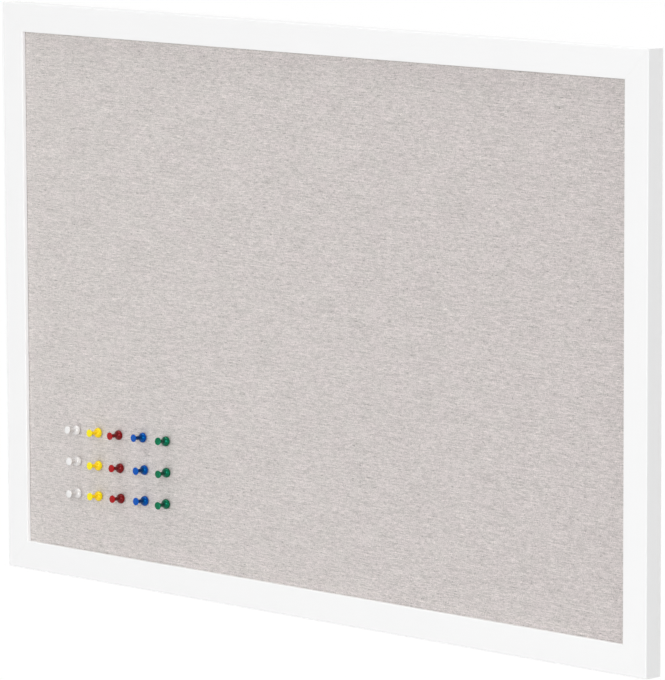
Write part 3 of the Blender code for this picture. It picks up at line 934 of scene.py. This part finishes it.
class BOARD_OT_mould_pins(bpy.types.Operator):
    """Mould the push-pin heads and grind their needles"""

    bl_idname = "board.mould_pins"
    bl_label = "Mould Push Pins"

    head_steps = 56
    needle_steps = 24
    dome_steps = 14
    flare_steps = 9
    round_steps = 4
    point_steps = 4
    bore_clearance = 0.0001
    parting_height = 0.00004
    parting_start = 0.0012
    # Where the rounding of the foot's edge stops, in degrees, and the power of the point's taper
    foot_turn = 335
    point_power = 1.3
    # Thinness and painted light at the dome's rim, and the share of the flare's height in which it
    # rises to one
    rim_thinness_and_light = 0.65
    flare_share = 0.6
    # The plastic in the thin disc and in the thick dome, whose colour also holds painted shade,
    # how deep its colour lies, and the tint of its gloss
    colours = {
        # White's deep colour is painted shade only, and the other deep colours are partly painted
        # shade
        "white": ((0.83, 0.82, 0.815), (0.61, 0.585, 0.575), 1, (1.0, 1.0, 1.0)),
        "yellow": ((0.92, 0.78, 0.003), (0.93, 0.60, 0.002), 2, (1.0, 0.95, 0.22)),
        "red": ((0.35, 0.001, 0.002), (0.085, 0.0, 0.0), 4, (1.0, 0.17, 0.19)),
        "blue": ((0.0, 0.066, 0.41), (0.0, 0.006, 0.065), 1, (0.02, 0.42, 1.0)),
        "green": ((0.0, 0.100, 0.032), (0.0, 0.004, 0.001), 1, (0.06, 1.0, 0.62)),
    }

    def head_profile(self, height, flange):
        """The head from the end of its bore, out round its foot and up to its disc."""
        look = bpy.context.scene.board_pins
        disc, waist = look.disc_diameter / 2, look.waist_diameter / 2
        foot, soft, fillet = look.foot_diameter / 2, look.edge_round, look.waist_fillet
        bore = look.needle_diameter / 2 + self.bore_clearance
        profile = [(0, look.needle_in_head), (bore, look.needle_in_head), (bore, 0)]
        profile += arc((foot - soft, soft), soft, 270, self.foot_turn, self.round_steps)
        last = math.degrees(math.acos((waist + fillet) / flange))
        profile += [
            (flange * out, look.flange_height + look.dome_height * up)
            for out, up in arc((0, 0), 1, 0, last, self.dome_steps)
        ]
        centre = (waist + fillet, profile[-1][1] + fillet)
        profile += arc(centre, fillet, 270, 180, self.round_steps)[1:]
        rim_foot = height - look.disc_rim
        for step in range(self.flare_steps + 1):
            share = step / self.flare_steps
            radius = waist + (disc - waist - soft / 2) * share**2
            profile.append((radius, rim_foot - look.flare_height * (1 - share)))
        profile.append((disc, rim_foot + soft / 2))
        profile += arc((disc - soft, height - soft), soft, 0, 90, self.round_steps)
        return profile + [(0, height)]

    def needle_profile(self, length):
        """The needle from its end inside the head down to its ground point."""
        look = bpy.context.scene.board_pins
        radius, inside = look.needle_diameter / 2, look.needle_in_head
        tip = inside - length
        profile = [(0, inside), (radius, inside), (radius, tip + look.needle_point)]
        for step in range(1, self.point_steps + 1):
            share = step / self.point_steps
            taper = radius * (1 - share**self.point_power)
            profile.append((taper, tip + look.needle_point * (1 - share)))
        return profile

    def mark_thinness_and_shade(self, head, height):
        """Mark how thin the plastic is, from the thick dome to the thin disc and rim; the low marks
        also carry painted shade on the dome and waist.
        """
        look = bpy.context.scene.board_pins
        marks = head.data.attributes.new("thinness_and_light", "FLOAT", "POINT")
        disc_foot = height - look.disc_rim
        dome_top = look.flange_height + look.dome_height
        waist, flange = look.waist_diameter / 2, look.foot_diameter / 2
        for vertex, mark in zip(head.data.vertices, marks.data):
            out = (math.hypot(vertex.co.x, vertex.co.y) - waist) / (flange - waist)
            if vertex.co.z > dome_top:
                value = 1 + (vertex.co.z - disc_foot) / (look.flare_height * self.flare_share)
            else:
                value = self.rim_thinness_and_light * out
            mark.value = max(0.0, min(1.0, value))

    def raise_parting_line(self, head):
        """Raise the fine line that the mould's two halves leave."""
        for vertex in head.data.vertices:
            out = abs(vertex.co.x)
            on_line = abs(vertex.co.y) < merge_distance and vertex.co.z > 0
            if on_line and out > self.parting_start:
                vertex.co.x *= 1 + self.parting_height / out

    def execute(self, context):
        first = all_pins()[0][0]
        outwards = pin_axis(first)
        head_height = reach_of(f"{first}_head", outwards)
        flange = max(
            math.hypot(*(pin_place(first).inverted() @ point).xy)
            for point in points_of(f"{first}_head")
        )
        needle_length = reach_of(f"{first}_needle", outwards)
        head = lathe("pin_head_pattern", self.head_profile(head_height, flange), self.head_steps)
        self.raise_parting_line(head)
        self.mark_thinness_and_shade(head, head_height)
        needle = lathe("needle_pattern", self.needle_profile(needle_length), self.needle_steps)
        plastics = {
            name: plastic_finish(name, *colours) for name, colours in self.colours.items()
        }
        steel = steel_finish("needle_steel", (0.70, 0.70, 0.71), 0.22, (0.0003, 0.004, 0.0003))
        for name, colour in all_pins():
            place = pin_place(name)
            cap = copy_at(head, f"{name}_cap", place)
            fit_out(cap, name, plastics[colour], f"{colour}_plastic", f"{name}_head")
            point = copy_at(needle, f"{name}_point", place)
            fit_out(point, name, steel, "needle_steel", f"{name}_needle")
        bpy.data.objects.remove(head, do_unlink=True)
        bpy.data.objects.remove(needle, do_unlink=True)
        return {"FINISHED"}


class BOARD_OT_make_hangers(bpy.types.Operator):
    """Roll the straps, bend the D rings and turn the screws of both hangers"""

    bl_idname = "board.make_hangers"
    bl_label = "Make Hangers"

    screw_numbers = (1, 2)
    eye_steps = 40
    corner_steps = 8
    bow_steps = 36
    wire_steps = 5
    screw_steps = 40
    crown_steps = 8
    thread_steps = 24
    slit = math.radians(6)
    hole_clearance = 0.0002
    drill_length = 0.01
    # Depths under a screw's head, where its neck ends and its core and thread begin
    neck_depth = 0.0008
    core_depth = 0.0013
    thread_depth = 0.0016
    # Heights over a screw's point, where its core narrows and its thread ends
    taper_height = 0.0030
    thread_end_height = 0.0026
    # Shares of the head's height: its round crown, the bevel at its seat, the recess's bars and
    # the recess's floor
    crown_share = 0.45
    seat_share = 0.12
    bar_height_share = 1.4
    recess_floor_share = 0.3
    # Shares of the head's radius, and how far the bars narrow toward the recess's floor
    bar_length_share = 1.15
    bar_width_share = 0.24
    narrowing_shares = (0.35, 0.7, 1)
    # Half the thread's width as a share of its pitch, and its root of the core's radius
    thread_half_share = 0.22
    thread_root_share = 0.97
    # The turn at which a screw stops, in degrees, by its number and its place
    first_turn = 25
    turn_by_number = 40
    turn_by_metre = 15

    def eye_of(self, hand):
        """The middle of a strap's eye, from its ring's joint."""
        return Vector(joint_of(f"{hand}_ring")["pos_m"])

    def make_strap(self, hand):
        """A strap: its side outline is traced, filled, given its width, rounded and drilled."""
        look = bpy.context.scene.board_hangers
        low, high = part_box(f"{hand}_hanger_strap")
        eye = self.eye_of(hand)
        outer = eye.y - low.y
        inner = outer - look.strap_thickness
        tail = low.z - eye.z
        closing = math.acos(inner / outer) + self.slit
        last = -180 + math.degrees(closing)
        outline = [(-outer, tail), (-outer, 0)]
        outline += arc((0, 0), outer, 180, last, self.eye_steps)[1:]
        outline += arc((0, 0), inner, last, 180, self.eye_steps)
        outline.append((-inner, tail))
        width = high.x - low.x
        points = [(low.x, eye.y + depth, eye.z + up) for depth, up in outline]
        strap = trace(f"{hand}_ring_strap", points)
        bpy.ops.mesh.edge_face_add()
        bpy.ops.mesh.extrude_region_move(TRANSFORM_OT_translate={"value": (width, 0, 0)})
        tidy_surface()
        settle(strap)
        bpy.ops.object.mode_set(mode="EDIT")
        edge_of_tail = low.z + merge_distance

        def at_tail_corner(edge):
            first, second = (vertex.co for vertex in edge.verts)
            at_tail = max(first.z, second.z) < edge_of_tail
            return at_tail and abs(first.x - second.x) < edge_tolerance

        pick(strap, "EDGE", at_tail_corner)
        bpy.ops.mesh.bevel(offset=look.strap_corner, segments=self.corner_steps, affect="EDGES")
        settle(strap)
        for number in self.screw_numbers:
            clear_selection()
            bpy.ops.mesh.primitive_cylinder_add(
                vertices=self.screw_steps,
                radius=look.screw_thread / 2 + self.hole_clearance,
                depth=self.drill_length,
                location=middle_at(*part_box(f"{hand}_hanger_screw_{number}"), low.y),
                rotation=(quarter_turn, 0, 0),
            )
            cut_away(strap, bpy.context.object)
        break_edges(strap, look.burr, sharper_than=50)
        return settle(strap)

    def make_ring(self, hand):
        """A D ring: its path is traced, closed, and given the wire's thickness."""
        look = bpy.context.scene.board_hangers
        low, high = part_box(f"{hand}_hanger_ring")
        eye = self.eye_of(hand)
        wire = look.ring_wire / 2
        half, soft = (high.x - low.x) / 2 - wire, look.ring_corner
        height = high.z - eye.z - wire
        path = arc((-half + soft, soft), soft, 180, 270, self.corner_steps)
        path += arc((half - soft, soft), soft, 270, 360, self.corner_steps)
        path += arc((0, height - half), half, 0, 180, self.bow_steps)
        points = [(eye.x + across, eye.y, eye.z + up) for across, up in path]
        ring = trace(f"{hand}_d_ring", points)
        pick(ring, "VERT", lambda vertex: len(vertex.link_edges) == 1)
        bpy.ops.mesh.edge_face_add()
        bpy.ops.object.mode_set(mode="OBJECT")
        bpy.ops.object.convert(target="CURVE")
        ring = bpy.context.object
        ring.data.bevel_depth = wire
        ring.data.bevel_resolution = self.wire_steps
        bpy.ops.object.convert(target="MESH")
        ring = bpy.context.object
        bpy.ops.object.mode_set(mode="EDIT")
        tidy_surface()
        return settle(ring, round_angle)

    def make_screw(self):
        """A pan-headed screw about Z with its seat at zero: head, cross recess, core, thread."""
        look = bpy.context.scene.board_hangers
        low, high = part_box("left_hanger_screw_1")
        head, rise = (high.x - low.x) / 2, look.screw_head_height
        length = high.y - low.y - rise
        core, neck, seat = look.screw_core / 2, look.screw_thread / 2, rise * self.seat_share
        crown = rise * self.crown_share
        profile = [(0, rise)]
        profile += [
            (head * out, rise - crown + crown * up)
            for out, up in arc((0, 0), 1, 90, 0, self.crown_steps)[1:]
        ]
        profile += [(head, seat), (head - seat, 0), (neck, 0), (neck, -self.neck_depth)]
        profile += [(core, -self.core_depth), (core, self.taper_height - length), (0, -length)]
        screw = lathe("screw_pattern", profile, self.screw_steps)
        bars = [self.recess_bar(head, rise, turn) for turn in (0, quarter_turn)]
        for bar in bars:
            cut_away(screw, bar)
        thread_end = self.thread_end_height - length
        thread = self.make_thread(core, neck, -self.thread_depth, thread_end)
        return settle(join([screw, thread]))

    def recess_bar(self, head, rise, turn):
        """One bar of the cutter for a screw's cross recess, narrower toward its foot."""
        size = (
            head * self.bar_length_share,
            head * self.bar_width_share,
            rise * self.bar_height_share,
        )
        clear_selection()
        bpy.ops.mesh.primitive_cube_add(size=1, location=(0, 0, rise))
        bar = bpy.context.object
        bpy.ops.transform.resize(value=size)
        bpy.ops.object.transform_apply(location=True, rotation=True, scale=True)
        bpy.ops.object.mode_set(mode="EDIT")
        pick(bar, "FACE", lambda face: face.normal.z < -0.5)
        foot = (0, 0, rise * self.recess_floor_share)
        bpy.ops.transform.resize(value=self.narrowing_shares, center_override=foot)
        bpy.ops.object.mode_set(mode="OBJECT")
        bar.data.transform(Matrix.Rotation(turn, 4, "Z"))
        return bar

    def make_thread(self, core, crest, top, end):
        """A sharp thread wound down the core and run out at both ends."""
        pitch = bpy.context.scene.board_hangers.screw_pitch
        half = pitch * self.thread_half_share
        root = core * self.thread_root_share
        thread = trace("thread", [(root, 0, half), (crest, 0, 0), (root, 0, -half)])
        bpy.ops.object.mode_set(mode="OBJECT")
        bpy.ops.object.transform_apply(location=True, rotation=True, scale=True)
        use_modifier(
            thread,
            "SCREW",
            axis="Z",
            screw_offset=-pitch,
            iterations=int((top - end) / pitch),
            steps=self.thread_steps,
            render_steps=self.thread_steps,
            use_merge_vertices=False,
        )
        thread.data.transform(Matrix.Translation((0, 0, top)))
        pick_object(thread)
        bpy.ops.object.mode_set(mode="EDIT")
        tidy_surface()
        bpy.ops.object.mode_set(mode="OBJECT")
        return thread

    def execute(self, context):
        look = context.scene.board_hangers
        zinc = steel_finish("zinc", (0.62, 0.63, 0.64), 0.34, (0.0012, 0.0012, 0.0030))
        screw = self.make_screw()
        for hand in hands:
            fit_out(self.make_strap(hand), "board", zinc, "zinc", f"{hand}_hanger_strap")
            fit_out(self.make_ring(hand), f"{hand}_ring", zinc, "zinc", f"{hand}_hanger_ring")
            for number in self.screw_numbers:
                node = f"{hand}_hanger_screw_{number}"
                low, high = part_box(node)
                seat = middle_at(low, high, high.y - look.screw_head_height)
                # No two screws stop at the same turn
                stop = self.first_turn + self.turn_by_number * number
                turn = math.radians(stop + self.turn_by_metre * seat.x)
                place = Matrix.Translation(seat) @ facing_back @ Matrix.Rotation(turn, 4, "Z")
                piece = copy_at(screw, f"{hand}_pan_screw_{number}", place)
                fit_out(piece, "board", zinc, "zinc", node)
        bpy.data.objects.remove(screw, do_unlink=True)
        return {"FINISHED"}


class BOARD_OT_fit_fixings(bpy.types.Operator):
    """Break the edges of the corner nails and tabs, and mould the rubber feet"""

    bl_idname = "board.fit_fixings"
    bl_label = "Fit Fixings"

    foot_steps = 48
    lip_steps = 4
    edge_steps = 10
    foot_lip = 0.0004
    # Radii of the dimple in a foot's face, at its rim and at its floor, as shares of the foot's
    dimple_shares = (0.30, 0.22)

    def foot_profile(self, radius, height):
        """A rubber foot from the middle of its seat to the dimple in its face."""
        soft, lip = bpy.context.scene.board_hangers.bumper_round, self.foot_lip
        rim, floor = (radius * share for share in self.dimple_shares)
        profile = [(0, 0), (radius - lip, 0)]
        profile += arc((radius - lip, lip), lip, 270, 360, self.lip_steps)[1:]
        profile += arc((radius - soft, height - soft), soft, 0, 90, self.edge_steps)
        return profile + [(rim, height), (floor, height - lip), (0, height - lip)]

    def execute(self, context):
        zinc = bpy.data.materials["zinc"]
        rubber = rubber_finish()
        for node in sorted(frame["nodes"]):
            if node.endswith("_corner_nail"):
                name = node.replace("_corner_nail", "_mitre_nail")
            elif "_tab_" in node:
                name = node.replace("_tab_", "_flat_point_")
            else:
                continue
            piece = copy_of_node(node, name)
            bpy.ops.object.mode_set(mode="OBJECT")
            break_edges(piece, context.scene.board_hangers.burr, sharper_than=30)
            fit_out(settle(piece), "board", zinc, "zinc", node)
        for hand in hands:
            node = f"{hand}_wall_bumper"
            low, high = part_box(node)
            profile = self.foot_profile((high.x - low.x) / 2, high.y - low.y)
            foot = lathe(f"{hand}_rubber_foot", profile, self.foot_steps)
            foot.data.transform(Matrix.Translation(middle_at(low, high, low.y)) @ facing_back)
            fit_out(foot, "board", rubber, "rubber", node)
        return {"FINISHED"}


class BOARD_OT_set_stage(bpy.types.Operator):
    """Set up the floor, the room's light, the lamps and the camera"""

    bl_idname = "board.set_stage"
    bl_label = "Set Stage"

    # Name, place from the board's middle, size across and up, and power of each lamp
    lamps = (
        ("front_softbox", (-1.0, -3.6, -1.1), (2.4, 2.0), 25.5),
        ("key_softbox", (9.4, -14.3, 4.2), (6.0, 6.0), 1135.0),
        ("right_softbox", (8.0, -1.6, 0.0), (2.4, 2.4), 82.0),
        ("top_softbox", (0.2, -0.75, 4.8), (3.8, 1.4), 92.0),
        ("back_softbox", (-1.6, 4.4, 0.9), (2.4, 2.0), 70.0),
    )
    floor_size = 60
    floor_cloud_size = 0.8
    floor_lift = 0.66
    # The camera's sensor in millimetres, and how far it sees in metres
    sensor_width = 36
    view_end = 100

    def seen_directly(self, maker):
        """One for rays from the camera, reflections and clear materials, otherwise nought."""
        path = "ShaderNodeLightPath"
        seen = maker.add(path, output="Is Camera Ray") + maker.add(path, output="Is Glossy Ray")
        return (seen + maker.add(path, output="Is Transmission Ray")).limited()

    def lay_floor(self, context):
        """A pale floor well below the hanging board. Seen from beneath it is clear."""
        clear_selection()
        height = construction_box[0].z - context.scene.board_stage.floor_drop
        bpy.ops.mesh.primitive_plane_add(size=self.floor_size, location=(0, 0, height))
        floor = bpy.context.object
        floor.name = "studio_floor"
        material, maker, shader = new_finish("studio_floor", Roughness=0.9, Emission_Strength=1.0)
        x, y, _ = (axis / self.floor_cloud_size for axis in maker.place())
        white = maker.mixed(maker.noise(x, y, 0.0, 2.0), (0.60, 0.60, 0.60), (0.63, 0.63, 0.63))
        maker.feed(shader["Base Color"], white)
        # What the camera and reflections see of the floor is lifted to the backdrop's white
        glow = maker.mixed(self.seen_directly(maker), (0, 0, 0), (self.floor_lift,) * 3)
        maker.feed(shader["Emission Color"], glow)
        below = maker.add("ShaderNodeNewGeometry", output="Backfacing")
        maker.feed(shader["Alpha"], 1 - below)
        floor.data.materials.append(material)

    def light_room(self, context):
        """Even light from all round, and plain white for what the camera sees past the board."""
        world = bpy.data.worlds.new("studio")
        context.scene.world = world
        maker = NodeMaker(world)
        seen = self.seen_directly(maker)
        strength = context.scene.board_stage.room_light
        background = maker.nodes["Background"].inputs
        maker.feed(background["Color"], (1, 1, 1, 1))
        maker.feed(background["Strength"], strength + seen * (1 - strength))

    def hang_lamps(self):
        """Large soft lamps that all point at the middle of the board."""
        for name, place, size, power in self.lamps:
            place = Vector(place)
            clear_selection()
            bpy.ops.object.light_add(type="AREA", location=board_middle + place)
            lamp = bpy.context.object
            lamp.name = name
            lamp.data.shape = "RECTANGLE"
            lamp.data.size, lamp.data.size_y = size
            lamp.data.energy = power
            lamp.rotation_euler = (-place).to_track_quat("-Z", "Y").to_euler()

    def stand_camera(self, context):
        """The camera at the photograph's viewing angle."""
        look = context.scene.board_stage
        yaw, pitch, roll = look.camera_yaw, look.camera_pitch, look.camera_roll
        back = Vector(
            (math.sin(yaw) * math.cos(pitch), -math.cos(yaw) * math.cos(pitch), math.sin(pitch))
        )
        clear_selection()
        place = Vector(look.camera_target) + back * look.camera_distance
        bpy.ops.object.camera_add(location=place)
        camera = bpy.context.object
        camera.name = "studio_camera"
        level = (-back).to_track_quat("-Z", "Y").to_matrix()
        camera.rotation_euler = (level @ Matrix.Rotation(-roll, 3, "Z")).to_euler()
        camera.data.lens = look.lens
        camera.data.sensor_width = self.sensor_width
        camera.data.clip_end = self.view_end
        context.scene.camera = camera

    def execute(self, context):
        context.scene.view_settings.view_transform = "Standard"
        self.lay_floor(context)
        self.light_room(context)
        self.hang_lamps()
        self.stand_camera(context)
        return {"FINISHED"}


class BOARD_PT_panel(bpy.types.Panel):
    """The steps and settings in the 3D view's sidebar"""

    bl_idname = "BOARD_PT_panel"
    bl_label = "Pin Board"
    bl_space_type = "VIEW_3D"
    bl_region_type = "UI"
    bl_category = "Pin Board"

    def draw(self, context):
        for step in steps:
            self.layout.operator(step.bl_idname)
        for name, group in settings_groups.items():
            box = self.layout.box()
            for setting in group.__annotations__:
                box.prop(getattr(context.scene, name), setting)


steps = (
    BOARD_OT_paint_frame,
    BOARD_OT_fit_boards,
    BOARD_OT_stretch_linen,
    BOARD_OT_mould_pins,
    BOARD_OT_make_hangers,
    BOARD_OT_fit_fixings,
    BOARD_OT_set_stage,
)


def register():
    """Register the settings, the steps and the panel."""
    for name, group in settings_groups.items():
        bpy.utils.register_class(group)
        setattr(bpy.types.Scene, name, bpy.props.PointerProperty(type=group))
    for step in (*steps, BOARD_PT_panel):
        bpy.utils.register_class(step)


def unregister():
    """Take away what register added."""
    for step in reversed((*steps, BOARD_PT_panel)):
        bpy.utils.unregister_class(step)
    for name, group in settings_groups.items():
        delattr(bpy.types.Scene, name)
        bpy.utils.unregister_class(group)


def main():
    """Build every piece in order."""
    register()
    bpy.ops.board.paint_frame()
    bpy.ops.board.fit_boards()
    bpy.ops.board.stretch_linen()
    bpy.ops.board.mould_pins()
    bpy.ops.board.make_hangers()
    bpy.ops.board.fit_fixings()
    bpy.ops.board.set_stage()


if __name__ == "__main__":
    main()
